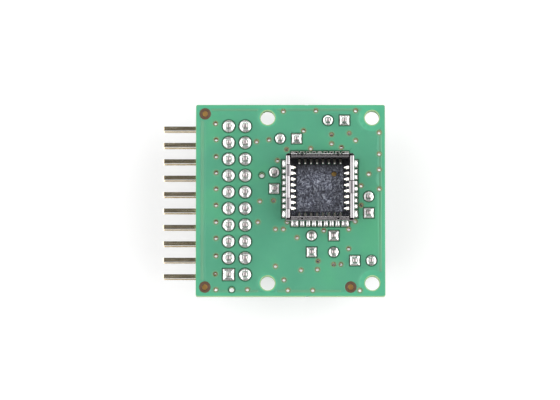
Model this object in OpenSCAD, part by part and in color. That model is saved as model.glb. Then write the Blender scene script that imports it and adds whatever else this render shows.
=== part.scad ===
/* [Board] */
// Width of the board, across the header
board_w = 29; // [28.8:0.1:30]
// Height of the board, along the header
board_h = 29.5; // [29.4:0.1:31]
// Thickness of the laminate
board_t = 1.6; // [1.2:0.1:2]
// Diameter of the four mounting holes
mount_d = 2.2; // [2:0.1:2.4]
// Spacing of the mounting holes across the board
mount_dx = 16; // [15.9:0.1:16.1]
// Spacing of the mounting holes along the board
mount_dy = 25.5; // [25.3:0.1:25.6]

/* [Pin header] */
// Number of pins in each of the two rows
header_n = 10; // [8:1:10]
// Reach of the pins beyond the insulator
header_reach = 5.3; // [5:0.1:7]
// Side of a square pin
pin_w = 0.64; // [0.6:0.01:0.66]

/* [Module socket] */
// Outer width of the shield
socket_w = 10.5; // [10.5:0.1:10.6]
// Outer length of the shield
socket_l = 10.4; // [10.4:0.1:10.5]
// Height of the shield above the board
socket_h = 3; // [2.9:0.1:3.4]
// Spacing of the spring contacts
contact_pitch = 0.9; // [0.88:0.01:0.92]

/* [Jumpers] */
// Height of a shunt cap
shunt_h = 6; // [5.8:0.1:6.2]
// Length of a jumper pin below its base
jumper_pin_l = 6; // [5.8:0.1:6]

/* [Hidden] */

$fn = 48;
pitch = 2.54;
cu = 0.035;
fit = 0.005;

// The frame's origin: centre of the mounting-hole pattern, on the underside of the board.
// Board positions below are measured from the lower left corner, seen from the socket side.
ox = 19;
oy = board_h / 2;

// Hole columns of the header and its first row
col_x = [5.02, 7.56];
row_y0 = board_h / 2 - pitch * (header_n - 1) / 2;
insulator_x0 = 0.20;
insulator_z = 0.1;
upper_z = -(insulator_z + 1.32);
lower_z = upper_z - pitch;

// Each jumper: x and y of its middle, then its angle. The square pad is at the +u end.
jumpers = [
    [21.52, 27.10, 0],
    [14.18, 24.26, 0],
    [12.00, 17.80, -90],
    [26.48, 14.06, -90],
    [17.72, 8.04, -90],
    [21.10, 8.04, 90],
    [25.60, 5.47, 180]
];
base_h = 2.54;
base_z = 0.1;

vias = [
    [3.0, 26.6], [3.1, 24.1], [3.1, 21.5], [3.1, 19.0], [3.1, 16.5],
    [3.1, 14.0], [3.1, 11.4], [3.1, 8.9], [3.1, 6.2], [3.0, 3.4],
    [9.3, 23.8], [9.5, 11.4], [9.8, 14.6], [11.2, 24.1], [12.5, 20.9],
    [11.9, 14.7], [12.2, 10.3], [13.4, 10.3], [15.5, 9.0], [13.9, 22.6],
    [14.0, 11.4], [13.4, 28.5], [18.4, 28.6], [24.5, 28.6], [16.5, 25.5],
    [20.8, 24.9], [23.5, 25.1], [28.1, 25.2], [24.5, 24.0], [20.8, 23.5],
    [22.3, 22.9], [17.6, 22.75], [28.1, 21.9], [28.1, 19.5], [28.1, 16.5],
    [26.5, 18.8], [25.3, 17.0], [25.3, 14.0], [24.4, 11.5], [19.6, 10.1],
    [23.4, 10.3], [23.4, 7.3], [18.7, 5.4], [18.6, 4.1], [16.1, 4.0],
    [12.2, 4.6], [21.1, 4.9], [22.2, 4.9], [13.5, 2.5], [3.1, 1.0],
    [7.9, 1.0], [14.1, 0.9], [17.9, 0.9], [25.1, 0.9]
];
tooling = [[10.1, 18.6], [5.5, 1.0]];
// Breakaway notches in the two edges that joined the board to its panel
breakaway = [[17, 0], [17, board_h]];
fiducials = [[1.4, 28.1], [1.4, 1.4], [23.7, 1.4]];
socket_at = [19, 16.5];

// Small parts on the underside: x, y, angle
capacitors = [
    [18.7, 19.6, 90], [18.7, 14.6, 90], [15.9, 17.2, 0], [15.9, 12.1, 0],
    [21.9, 17.6, 0], [24.4, 20.2, 90], [22.1, 22.6, 0], [18.7, 17.2, 0],
    [19.6, 12.1, 0], [9.7, 21.6, 90], [9.7, 8.8, 90], [13.2, 12.6, 0]
];
resistors = [
    [26.3, 21.6, 90], [26.3, 9.0, 0], [26.3, 10.4, 0], [13.4, 8.9, 0],
    [13.3, 6.0, 0], [9.6, 17.0, 90], [18.1, 27.2, 90], [24.3, 16.9, 90]
];
ferrites = [[21.6, 2.6, 0], [9.7, 5.8, 90]];
bulk = [16.9, 2.4, 0];

module at(x, y) { translate([x - ox, y - oy, 0]) children(); }
module at3(p) { at(p[0], p[1]) rotate([0, 0, p[2]]) children(); }
module rows() { for (i = [0 : header_n - 1]) translate([0, row_y0 + i * pitch - oy, 0]) children(); }
module header_holes() { for (x = col_x) translate([x - ox, 0, 0]) rows() children(); }
module jumper_holes() { for (p = jumpers) at3(p) for (s = [-1, 1]) translate([s * pitch / 2, 0, 0]) children(); }

// A flat strip that follows a path in a plane: points are offset by half the thickness on each side
function unit(v) = v / norm(v);
function left(v) = [-v[1], v[0]];
function corner(p, i) = let (n = len(p),
    a = unit(p[min(i + 1, n - 1)] - p[min(i, n - 2)]),
    b = unit(p[max(i, 1)] - p[max(i - 1, 0)]),
    m = unit(left(a) + left(b))) m / max(0.4, m * left(a));
function strip(p, t) = concat(
    [for (i = [0 : len(p) - 1]) p[i] + corner(p, i) * t / 2],
    [for (i = [len(p) - 1 : -1 : 0]) p[i] - corner(p, i) * t / 2]);

// ---------- Board ----------
module rounded_plate(w, l, h, r) {
    union() {
        translate([r, 0, 0]) cube([w - 2 * r, l, h]);
        translate([0, r, 0]) cube([w, l - 2 * r, h]);
        for (x = [r, w - r], y = [r, l - r]) translate([x, y, 0]) cylinder(r = r, h = h);
    }
}

module circuit_board() {
    color([0.36, 0.68, 0.54])
    difference() {
        translate([-ox, -oy, 0]) rounded_plate(board_w, board_h, board_t, 0.3);
        for (x = [-1, 1], y = [-1, 1]) translate([x * mount_dx / 2, y * mount_dy / 2, -1])
            cylinder(d = mount_d, h = board_t + 2);
        translate([0, 0, -1]) header_holes() cylinder(r = 0.55, h = board_t + 2);
        translate([0, 0, -1]) jumper_holes() cylinder(r = 0.55, h = board_t + 2);
        for (v = vias) at(v[0], v[1]) translate([0, 0, -1]) cylinder(r = 0.3, h = board_t + 2, $fn = 24);
        for (v = tooling) at(v[0], v[1]) translate([0, 0, -1]) cylinder(r = 0.375, h = board_t + 2);
        for (v = breakaway) at(v[0], v[1] + sign(v[1] - oy) * 0.22) translate([0, 0, -1]) cylinder(r = 0.36, h = board_t + 2);
    }
}

// A plated hole: a barrel with a land on each face
module plated(r_in, r_out, land) {
    rotate_extrude() polygon([[r_in, -cu], [land, -cu], [land, 0], [r_out, 0], [r_out, board_t],
        [land, board_t], [land, board_t + cu], [r_in, board_t + cu]]);
}
module plated_square(r_in, r_out, side) {
    difference() {
        union() {
            translate([0, 0, -cu]) cylinder(r = r_out, h = board_t + 2 * cu);
            for (z = [-cu, board_t]) translate([-side / 2, -side / 2, z]) cube([side, side, cu]);
        }
        translate([0, 0, -1]) cylinder(r = r_in, h = board_t + 2);
    }
}
module header_hole_plating() {
    color([0.82, 0.80, 0.76])
    for (c = [0, 1], i = [0 : header_n - 1]) at(col_x[c], row_y0 + i * pitch)
        if (c == 0 && i == 0) plated_square(0.5, 0.55 - fit, 1.75); else plated(0.5, 0.55 - fit, 0.92);
}
module jumper_hole_plating() {
    color([0.82, 0.80, 0.76])
    for (p = jumpers) at3(p) {
        translate([-pitch / 2, 0, 0]) plated(0.5, 0.55 - fit, 0.76);
        translate([pitch / 2, 0, 0]) plated_square(0.5, 0.55 - fit, 1.5);
    }
}
module via_plating() {
    color([0.72, 0.55, 0.38])
    for (v = vias) at(v[0], v[1]) plated(0.25, 0.3 - fit, 0.36, $fn = 24);
}
module fiducial_marks() {
    color([0.70, 0.42, 0.26])
    for (f = fiducials) at(f[0], f[1]) translate([0, 0, board_t]) cylinder(r = 0.42, h = cu);
}

// ---------- Module socket ----------
half_w = socket_w / 2;
half_l = socket_l / 2;
sheet = 0.15;
// Lands and tails sit on whole pitches, springs on half pitches
springs = [for (k = [-3.5 : 1 : 3.5]) k * contact_pitch];
tails = [for (k = [-3 : 1 : 3]) k * contact_pitch];
function tail_of(s) = s + sign(s) * contact_pitch / 2;
wide_land = 3.87;
wide_foot = 4.16;

module socket_frame_at() { at(socket_at[0], socket_at[1]) translate([0, 0, board_t]) children(); }
// Draws its children on each side of the socket, with +x outwards from the middle
module side(a) { rotate([0, 0, a]) children(); }

module socket_lands() {
    color([0.80, 0.78, 0.74])
    socket_frame_at() for (a = [0 : 90 : 270]) side(a) {
        for (s = tails) translate([4.85, s - 0.33, 0]) cube([0.95, 0.66, cu]);
        for (s = [-1, 1]) translate([4.85, s * wide_land - 0.57, 0]) cube([0.95, 1.14, cu]);
    }
}

frame_w = 0.55;
module spring_slots() {
    for (a = [0 : 90 : 270], s = springs) side(a)
        translate([3.72, s - 0.24, -1]) cube([(a % 180 == 0 ? half_w : half_l) - 0.5 - 3.72, 0.48, 5]);
}
// Floor of the moulded housing, with a raised platform, spring slots, a sight hole and a key slot
module socket_floor() {
    iw = half_w - 0.2 - frame_w - 0.01;
    il = half_l - 0.2 - frame_w - 0.01;
    color([0.24, 0.24, 0.28])
    socket_frame_at() difference() {
        union() {
            translate([-iw, -il, 0.1]) cube([2 * iw, 2 * il, 0.35]);
            translate([-3.62, -3.62, 0.3]) cube([7.24, 7.24, 0.4]);
        }
        // Room for the contact feet
        difference() {
            translate([-6, -6, -1]) cube([12, 12, 1.28]);
            translate([-3.98, -3.93, -2]) cube([7.96, 7.86, 3]);
        }
        spring_slots();
        translate([2.16, 2.24, -1]) cylinder(r = 0.42, h = 3);
        translate([2.86, 2.0, -1]) cube([0.14, 0.5, 3]);
    }
}
// Frame of the housing: four grooved bars, mitred at the corners
module socket_frame() {
    color([0.10, 0.10, 0.11])
    socket_frame_at() difference() {
        for (a = [0 : 90 : 270]) side(a) {
            e = (a % 180 == 0 ? half_w : half_l) - 0.2;
            l = (a % 180 == 0 ? half_l : half_w) - 0.2 - 0.01;
            translate([0, 0, 0.28]) linear_extrude(1.97) polygon([[e - frame_w, -l + frame_w], [e, -l], [e, l], [e - frame_w, l - frame_w]]);
        }
        spring_slots();
    }
}

// Profile of a spring contact, from its foot to its free end: distance from the middle, height.
// It rises through the floor, hooks inwards to a rounded tip and runs back up to the wall.
function spring_path(e) = [[e - 0.06, 0.14], [4.30, 0.14], [4.06, 0.17], [3.93, 0.30], [3.90, 0.55], [3.98, 0.80],
    [3.90, 0.98], [3.77, 1.10], [3.76, 1.22], [3.88, 1.32], [4.14, 1.42], [4.44, 1.56]];
module contact(s, e) {
    t = tail_of(s);
    union() {
        intersection() {
            translate([0, s + 0.5, 0]) rotate([90, 0, 0]) linear_extrude(1) polygon(strip(spring_path(e), 0.11));
            translate([0, s, -1]) linear_extrude(4) polygon([[3.6, -0.07], [3.74, -0.10], [3.95, -0.13], [4.12, -0.20], [4.5, -0.21], [4.56, -0.13], [e, -0.13],
                [e, 0.13], [4.56, 0.13], [4.5, 0.21], [4.12, 0.20], [3.95, 0.13], [3.74, 0.10], [3.6, 0.07]]);
        }
        translate([e - 0.3, min(s - 0.13, t - 0.17), 0.085]) cube([0.24, abs(t - s) + 0.3, 0.11]);
        translate([0, t + 0.17, 0]) rotate([90, 0, 0])
            linear_extrude(0.34) polygon(strip([[e - 0.08, 0.14], [e + 0.12, 0.14], [e + 0.22, 0.095], [e + 0.62, 0.095]], 0.11));
    }
}
module contact_row(a) {
    color([0.86, 0.74, 0.46])
    socket_frame_at() side(a) for (s = springs) contact(s, a % 180 == 0 ? half_w - 0.1 : half_l - 0.1);
}
module socket_contacts_east() { contact_row(0); }
module socket_contacts_north() { contact_row(90); }
module socket_contacts_west() { contact_row(180); }
module socket_contacts_south() { contact_row(270); }

// Solder on each land: a low mound with a flat seat for the tail
module mound(s, w, e, l) {
    translate([0, s + w / 2, cu]) rotate([90, 0, 0]) linear_extrude(w)
        polygon([[e, 0], [e + l, 0], [e + l - 0.06, 0.1], [e + l - 0.2, 0.17], [e + 0.1, 0.2], [e, 0.16]]);
}
module socket_solder() {
    color([0.86, 0.86, 0.85])
    socket_frame_at() for (a = [0 : 90 : 270]) side(a) {
        e = (a % 180 == 0 ? half_w : half_l) + 0.02;
        l = 5.78 - e;
        difference() {
            union() {
                for (s = tails) mound(s, 0.6, e, l);
                for (s = [-1, 1]) mound(s * wide_land, 1.08, e, l);
            }
            for (s = springs) translate([4, tail_of(s) - 0.18, 0]) cube([e + 0.52 - 4, 0.36, 0.16]);
            for (s = [-wide_foot, 0, wide_foot]) translate([4, s - 0.2, 0]) cube([e + 0.32 - 4, 0.4, 0.26]);
        }
    }
}

// The shield's rim is folded over to an inverted U; its inner leg is short
fold_r = 0.35;
fold_n = 8.86;
fold_e = 9.56;
// Latch windows: side angle, position along the side, width
latches = [[180, 2.56, 1.75], [180, -2.56, 1.75], [0, 0, 2.0]];
// Pressed V dimples in the plain sides
dimples = [-2.75, 2.75];
function arc(x, z, r, a0, a1, n) = [for (k = [0 : n]) let (a = a0 + (a1 - a0) * k / n) [x + r * cos(a), z + r * sin(a)]];
module fold(e, l) {
    c = e - fold_r;
    z = socket_h - fold_r;
    translate([0, l / 2, 0]) rotate([90, 0, 0]) linear_extrude(l) difference() {
        union() {
            translate([c, z]) circle(r = fold_r);
            translate([c - fold_r, z - 0.38]) square([2 * fold_r, 0.38]);
        }
        translate([c, z]) circle(r = fold_r - sheet);
        translate([c - fold_r + sheet, z - 2]) square([2 * (fold_r - sheet), 2]);
    }
}
module shield_walls() {
    difference() {
        translate([-half_w, -half_l, 0.28]) rounded_plate(socket_w, socket_l, socket_h - fold_r - 0.28, 0.3);
        translate([-half_w + sheet, -half_l + sheet, -1]) rounded_plate(socket_w - 2 * sheet, socket_l - 2 * sheet, socket_h + 2, 0.15);
        // Seams where the sides meet, open from the top
        for (x = [-1, 1], y = [-1, 1]) translate([x * (half_w - 0.12), y * (half_l - 0.12), socket_h - 1.1 + 2]) rotate([0, 0, 45])
            cube([0.9, 0.16, 4], center = true);
    }
}
module socket_shield() {
    color([0.78, 0.77, 0.76])
    socket_frame_at() union() {
        shield_walls();
        difference() {
            for (a = [0 : 90 : 270]) side(a) fold(a % 180 == 0 ? half_w : half_l, a % 180 == 0 ? fold_e : fold_n);
            for (q = latches) side(q[0]) translate([half_w - 1.2, q[1] - q[2] / 2, socket_h - 1]) cube([1.2 - sheet, q[2], 2]);
            translate([half_w - 0.4, -1, socket_h - 0.36]) cube([1, 2, 1]);
            for (a = [90, 270], s = dimples) side(a) translate([half_l - fold_r, s, socket_h - 0.21]) linear_extrude(1) {
                polygon([[0.28, -0.30], [0.28, 0.30], [-0.20, 0]]);
                for (q = [-1, 1]) polygon([[0.28, q * 0.38], [0.28, q * 0.74], [0.02, q * 0.56]]);
            }
        }
        // Latch tongues, sprung inwards and down from the outer wall
        for (q = latches) side(q[0]) translate([0, q[1] + q[2] / 2 - 0.08, 0]) rotate([90, 0, 0]) linear_extrude(q[2] - 0.16)
            polygon(strip([[half_w - 0.08, socket_h - 0.75], [half_w - 0.08, socket_h - 0.42], [half_w - 0.13, socket_h - 0.32], [half_w - 0.24, socket_h - 0.27],
                [half_w - 0.60, socket_h - 0.28], [half_w - 0.72, socket_h - 0.34], [half_w - 0.78, socket_h - 0.46], [half_w - 0.79, socket_h - 0.72]], 0.12));
        // Soldered feet
        for (a = [0 : 90 : 270], s = [-wide_foot, 0, wide_foot]) side(a) {
            e = a % 180 == 0 ? half_w : half_l;
            translate([e - sheet, s - 0.19, 0.04]) cube([sheet, 0.38, 0.3]);
            translate([e - sheet, s - 0.19, 0.04]) cube([sheet + 0.3, 0.38, 0.12]);
        }
    }
}

// ---------- Right-angle header ----------
insulator_l = header_n * pitch;
module header_body() {
    color([0.09, 0.09, 0.10])
    translate([insulator_x0 - ox, -insulator_l / 2, 0]) difference() {
        translate([0, 0, -insulator_z - 5.08]) cube([2.54, insulator_l, 5.08]);
        // Notches between the ways, top and bottom
        for (i = [1 : header_n - 1], z = [-insulator_z, -insulator_z - 5.08])
            translate([1.27, i * pitch, z]) rotate([45, 0, 0]) cube([6, 0.5, 0.5], center = true);
        for (i = [0 : header_n - 1], z = [upper_z, lower_z])
            translate([-1, (i + 0.5) * pitch - pin_w / 2 - fit, z - pin_w / 2 - fit]) cube([5, pin_w + 2 * fit, pin_w + 2 * fit]);
    }
}

// A bent pin: its free end points to -x at height z, its tail rises at x
tip_z = board_t + 1.0;
function bend(x, z, r, a0, a1) = [for (k = [0 : 6]) let (a = a0 + (a1 - a0) * k / 6) [x + r * cos(a), z + r * sin(a)]];
module bent_pin(x, z) {
    h = pin_w / 2;
    c = 0.2;
    ce = 0.07;
    x0 = insulator_x0 - header_reach;
    rb = 0.35;
    intersection() {
        translate([0, h, 0]) rotate([90, 0, 0]) linear_extrude(pin_w) polygon(concat(
            [[x0, z + h - ce], [x0, z - h + ce], [x0 + 0.15, z - h]],
            bend(x + h - rb - pin_w, z - h + rb + pin_w, rb + pin_w, -90, 0),
            [[x + h, tip_z - 0.3], [x + h - c, tip_z], [x - h + c, tip_z], [x - h, tip_z - 0.3]],
            bend(x - h - rb, z + h + rb, rb, 0, -90),
            [[x0 + 0.15, z + h]]));
        // Chamfers on the other two flanks
        union() {
            linear_extrude(height = 30, center = true) polygon([[x0, -h + ce], [x0 + 0.15, -h], [x + 1, -h], [x + 1, h], [x0 + 0.15, h], [x0, h - ce]]);
        }
        rotate([90, 0, 90]) linear_extrude(height = 60, center = true)
            polygon([[-h, -20], [h, -20], [h, tip_z - 0.3], [h - c, tip_z], [-h + c, tip_z], [-h, tip_z - 0.3]]);
    }
}
module header_pins_upper() {
    color([0.72, 0.56, 0.32])
    translate([-ox, 0, 0]) rows() bent_pin(col_x[0], upper_z);
}
module header_pins_lower() {
    color([0.72, 0.56, 0.32])
    translate([-ox, 0, 0]) rows() bent_pin(col_x[1], lower_z);
}

// Solder in a plated hole, with a concave fillet up the pin on the socket side and a small one below
module solder_joint(r, h, hb) {
    m = 6;
    difference() {
        rotate_extrude() polygon(concat(
            [[0, -cu - hb]],
            [for (k = [0 : 3]) [0.46 + (r - 0.46) * pow(k / 3, 2), -cu - hb * (1 - k / 3)]],
            [[0.5 - fit, -cu], [0.5 - fit, board_t + cu]],
            [for (k = [0 : m]) [0.43 + (r - 0.43) * pow(1 - k / m, 1.9), board_t + cu + h * k / m]],
            [[0, board_t + cu + h]]));
        translate([-pin_w / 2 - fit, -pin_w / 2 - fit, -5]) cube([pin_w + 2 * fit, pin_w + 2 * fit, 12]);
    }
}
module header_solder() {
    color([0.88, 0.88, 0.88]) header_holes() solder_joint(0.88, 0.72, 0.35);
}

// ---------- Two-pin jumpers ----------
module jumper_bases() {
    color([0.09, 0.09, 0.10])
    for (p = jumpers) at3(p) difference() {
        union() {
            translate([-pitch, -1.27, -base_z - base_h]) cube([2 * pitch, 2.54, base_h]);
        }
        for (s = [-1, 1], q = [-1, 1]) translate([s * pitch, q * 1.27, 0]) rotate([0, 0, 45]) cube([0.7, 0.7, 12], center = true);
        for (q = [-1, 1]) translate([0, q * 1.27, 0]) rotate([0, 0, 45]) cube([0.6, 0.6, 12], center = true);
        for (s = [-1, 1]) translate([s * pitch / 2 - pin_w / 2 - fit, -pin_w / 2 - fit, -10]) cube([pin_w + 2 * fit, pin_w + 2 * fit, 12]);
    }
}
jumper_tip = base_z + base_h + jumper_pin_l;
module straight_pin() {
    h = pin_w / 2;
    c = 0.2;
    top = board_t + 0.85;
    prof = [[-h, -jumper_tip + 0.45], [-h + c, -jumper_tip], [h - c, -jumper_tip], [h, -jumper_tip + 0.45],
        [h, top - 0.25], [h - c, top], [-h + c, top], [-h, top - 0.25]];
    intersection() {
        translate([0, h, 0]) rotate([90, 0, 0]) linear_extrude(pin_w) polygon(prof);
        translate([-h, 0, 0]) rotate([90, 0, 90]) linear_extrude(pin_w) polygon(prof);
    }
}
module jumper_pins() { color([0.72, 0.56, 0.32]) jumper_holes() straight_pin(); }
module jumper_solder() {
    color([0.88, 0.88, 0.88]) jumper_holes() solder_joint(0.73, 0.6, 0.06);
}

// A shunt: a moulded sleeve with a folded spring clip that bridges both pins
shunt_top = base_z + base_h + 0.1;
module shunt_cap(n) {
    color([0.07, 0.07, 0.08])
    at3(jumpers[n - 1]) translate([0, 0, -shunt_top - shunt_h]) difference() {
        translate([-2.48, -1.22, 0]) cube([4.96, 2.44, shunt_h]);
        translate([-2.05, -0.64, 0.35]) cube([4.1, 1.28, shunt_h]);
        for (s = [-1, 1]) translate([s * pitch / 2 - 0.48, -0.48, -1]) cube([0.96, 0.96, 3]);
        // Waist between the two ways, and finger grips on the long faces
        for (q = [-1, 1]) translate([0, q * 1.22, 0]) rotate([0, 0, 45]) cube([0.5, 0.5, 20], center = true);
        for (s = [-1, 1], q = [-1, 1]) translate([s * 2.48, q * 1.22, 0]) rotate([0, 0, 45]) cube([0.5, 0.5, 20], center = true);
        for (q = [-1, 1], k = [0 : 2]) translate([-3, q * 1.22 - 0.07, 0.9 + 0.6 * k]) cube([6, 0.14, 0.28]);
    }
}
module shunt_clip(n) {
    color([0.80, 0.68, 0.42])
    at3(jumpers[n - 1]) translate([0, 0, -shunt_top - shunt_h + 0.35]) difference() {
        translate([-2.0, -0.57, 0]) cube([4.0, 1.14, shunt_h - 0.85]);
        translate([-1.82, -0.39, -1]) cube([3.64, 0.78, shunt_h + 2]);
        translate([-0.55, 0, -1]) cube([1.1, 2, shunt_h + 2]);
        for (s = [-1, 1]) translate([s * pitch / 2 - 0.12, 0, 0.9]) cube([0.24, 2, shunt_h]);
    }
}

// ---------- Small parts on the underside ----------
module lead(w) {
    translate([0, w / 2, 0]) rotate([90, 0, 0]) linear_extrude(w)
        polygon(strip([[0.8, -0.72], [1.0, -0.72], [1.12, -0.12], [1.42, -0.12]], 0.14));
}
module sot_body() {
    color([0.11, 0.11, 0.12]) difference() {
        translate([-1.45, -0.8, -1.2]) cube([2.9, 1.6, 1.1]);
        translate([-1.08, 0.42, -1.3]) cylinder(r = 0.16, h = 0.18);
        for (q = [-1, 1]) translate([0, q * 0.8, -1.2]) rotate([45, 0, 0]) cube([5, 0.14, 0.14], center = true);
        for (s = [-1, 1]) translate([s * 1.45, 0, -1.2]) rotate([0, 45, 0]) cube([0.14, 5, 0.14], center = true);
    }
}
module sot_leads() {
    color([0.80, 0.80, 0.79]) {
        for (x = [-0.95, 0, 0.95]) translate([x, 0, 0]) rotate([0, 0, -90]) lead(0.38);
        for (x = [-0.95, 0.95]) translate([x, 0, 0]) rotate([0, 0, 90]) lead(0.38);
    }
}
reg_core = [15.9, 19.7, 0];
reg_analog = [15.9, 14.65, 0];
reg_io = [21.9, 20.1, 0];
osc = [22.0, 14.6, 0];
module core_regulator_body() { at3(reg_core) sot_body(); }
module core_regulator_leads() { at3(reg_core) sot_leads(); }
module analog_regulator_body() { at3(reg_analog) sot_body(); }
module analog_regulator_leads() { at3(reg_analog) sot_leads(); }
module io_regulator_body() { at3(reg_io) sot_body(); }
module io_regulator_leads() { at3(reg_io) sot_leads(); }

module oscillator_base() {
    color([0.74, 0.66, 0.52]) at3(osc) difference() {
        translate([-1.6, -1.25, -0.6]) cube([3.2, 2.5, 0.6 - cu]);
        for (x = [-1, 1], y = [-1, 1]) translate([x * 1.6, y * 1.25, -2]) cylinder(r = 0.18, h = 3);
    }
}
module oscillator_lid() {
    color([0.83, 0.81, 0.76]) at3(osc) translate([-1.4, -1.05, -0.95]) cube([2.8, 2.1, 0.35]);
}

module chip(l, w, h, e, part) {
    z = -cu - h;
    if (part == "body") translate([-l / 2 + e, -w / 2 + 0.02, z + 0.02]) cube([l - 2 * e, w - 0.04, h - 0.04]);
    else for (s = [-1, 1]) translate([s * (l / 2 - e / 2) - e / 2, -w / 2, z]) cube([e, w, h]);
}
module capacitor_bodies() { color([0.62, 0.47, 0.34]) for (p = capacitors) at3(p) chip(1.6, 0.8, 0.8, 0.32, "body"); }
module capacitor_ends() { color([0.84, 0.84, 0.83]) for (p = capacitors) at3(p) chip(1.6, 0.8, 0.8, 0.32, "ends"); }
module bulk_capacitor_body() { color([0.62, 0.47, 0.34]) at3(bulk) chip(3.2, 1.6, 1.25, 0.5, "body"); }
module bulk_capacitor_ends() { color([0.84, 0.84, 0.83]) at3(bulk) chip(3.2, 1.6, 1.25, 0.5, "ends"); }
module resistor_bodies() { color([0.90, 0.90, 0.88]) for (p = resistors) at3(p) chip(1.6, 0.8, 0.42, 0.3, "body"); }
module resistor_films() {
    color([0.08, 0.08, 0.09]) for (p = resistors) at3(p) translate([-0.5, -0.38, -cu - 0.45]) cube([1.0, 0.76, 0.05]);
}
module resistor_ends() { color([0.84, 0.84, 0.83]) for (p = resistors) at3(p) chip(1.6, 0.8, 0.42, 0.3, "ends"); }
module ferrite_bodies() { color([0.30, 0.30, 0.31]) for (p = ferrites) at3(p) chip(2.0, 1.25, 0.9, 0.4, "body"); }
module ferrite_ends() { color([0.84, 0.84, 0.83]) for (p = ferrites) at3(p) chip(2.0, 1.25, 0.9, 0.4, "ends"); }

module chip_lands(l, w, e) {
    for (s = [-1, 1]) translate([s * (l / 2 - e / 2 + 0.1) - (e + 0.2) / 2, -w / 2 - 0.06, -cu]) cube([e + 0.2, w + 0.12, cu]);
}
module component_lands() {
    color([0.80, 0.78, 0.74])
    difference() {
        union() {
            for (p = capacitors) at3(p) chip_lands(1.6, 0.8, 0.32);
            for (p = resistors) at3(p) chip_lands(1.6, 0.8, 0.3);
            for (p = ferrites) at3(p) chip_lands(2.0, 1.25, 0.4);
            at3(bulk) chip_lands(3.2, 1.6, 0.5);
            for (p = [reg_core, reg_analog, reg_io]) at3(p) {
                for (x = [-0.95, 0, 0.95]) translate([x - 0.25, -1.6, -cu]) cube([0.5, 0.6, cu]);
                for (x = [-0.95, 0.95]) translate([x - 0.25, 1.0, -cu]) cube([0.5, 0.6, cu]);
            }
            at3(osc) for (x = [-1, 1], y = [-1, 1]) translate([x * 1.05 - 0.5, y * 0.85 - 0.4, -cu]) cube([1.0, 0.8, cu]);
        }
        for (v = vias) at(v[0], v[1]) translate([0, 0, -1]) cylinder(r = 0.4, h = 2, $fn = 24);
    }
}

circuit_board();
header_hole_plating();
jumper_hole_plating();
via_plating();
fiducial_marks();
socket_lands();
component_lands();
socket_floor();
socket_frame();
socket_shield();
socket_contacts_north();
socket_contacts_south();
socket_contacts_east();
socket_contacts_west();
socket_solder();
header_body();
header_pins_upper();
header_pins_lower();
header_solder();
jumper_bases();
jumper_pins();
jumper_solder();
shunt_cap(1);  // shunt_1_cap
shunt_clip(1);  // shunt_1_clip
shunt_cap(2);  // shunt_2_cap
shunt_clip(2);  // shunt_2_clip
shunt_cap(3);  // shunt_3_cap
shunt_clip(3);  // shunt_3_clip
shunt_cap(4);  // shunt_4_cap
shunt_clip(4);  // shunt_4_clip
shunt_cap(5);  // shunt_5_cap
shunt_clip(5);  // shunt_5_clip
shunt_cap(6);  // shunt_6_cap
shunt_clip(6);  // shunt_6_clip
shunt_cap(7);  // shunt_7_cap
shunt_clip(7);  // shunt_7_clip
core_regulator_body();
core_regulator_leads();
analog_regulator_body();
analog_regulator_leads();
io_regulator_body();
io_regulator_leads();
oscillator_base();
oscillator_lid();
capacitor_bodies();
capacitor_ends();
bulk_capacitor_body();
bulk_capacitor_ends();
resistor_bodies();
resistor_films();
resistor_ends();
ferrite_bodies();
ferrite_ends();
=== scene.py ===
import bpy, bmesh, math
import numpy as np
from mathutils import Vector, Matrix, noise as mnoise
from mathutils.geometry import delaunay_2d_cdt


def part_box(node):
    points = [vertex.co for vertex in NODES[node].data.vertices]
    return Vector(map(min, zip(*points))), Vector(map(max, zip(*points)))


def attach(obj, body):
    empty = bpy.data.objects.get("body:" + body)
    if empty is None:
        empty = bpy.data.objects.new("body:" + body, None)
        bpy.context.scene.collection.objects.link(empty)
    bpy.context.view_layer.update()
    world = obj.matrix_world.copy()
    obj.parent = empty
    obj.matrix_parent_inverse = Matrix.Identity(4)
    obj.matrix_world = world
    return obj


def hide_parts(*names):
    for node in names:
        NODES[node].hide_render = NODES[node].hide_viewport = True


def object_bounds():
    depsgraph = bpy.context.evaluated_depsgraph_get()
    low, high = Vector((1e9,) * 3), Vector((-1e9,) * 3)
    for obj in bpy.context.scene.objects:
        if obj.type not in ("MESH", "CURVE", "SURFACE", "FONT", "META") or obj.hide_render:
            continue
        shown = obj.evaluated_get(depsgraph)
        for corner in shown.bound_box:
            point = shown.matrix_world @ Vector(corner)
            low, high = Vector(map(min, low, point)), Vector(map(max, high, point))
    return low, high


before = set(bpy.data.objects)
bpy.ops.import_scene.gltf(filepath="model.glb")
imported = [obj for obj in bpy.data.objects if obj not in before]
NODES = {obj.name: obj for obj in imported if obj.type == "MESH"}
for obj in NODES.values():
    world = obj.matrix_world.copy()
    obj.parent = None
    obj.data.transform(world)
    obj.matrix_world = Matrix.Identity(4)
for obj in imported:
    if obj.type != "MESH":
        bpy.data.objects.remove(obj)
lo0, hi0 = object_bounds()
scene = bpy.context.scene
MM = 0.001

# ------------------------------------------------------------------ where things are
b_lo, b_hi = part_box("circuit_board")
BX0, BX1 = b_lo.x / MM, b_hi.x / MM          # board outline, mm
BY0, BY1 = b_lo.y / MM, b_hi.y / MM
BT = b_hi.z / MM                             # top face
OX, OY = -BX0, -BY0                          # board corner to row frame
SX, SY = 0.0, 1.75                           # socket centre, mm, row frame
s_lo, s_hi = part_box("socket_shield")
STOP = s_hi.z / MM                           # top of the shield
CU = 0.035


def at(x, y):
    """Board coordinates (from the lower left corner) to the row frame, mm."""
    return (x - OX, y - OY)


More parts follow.
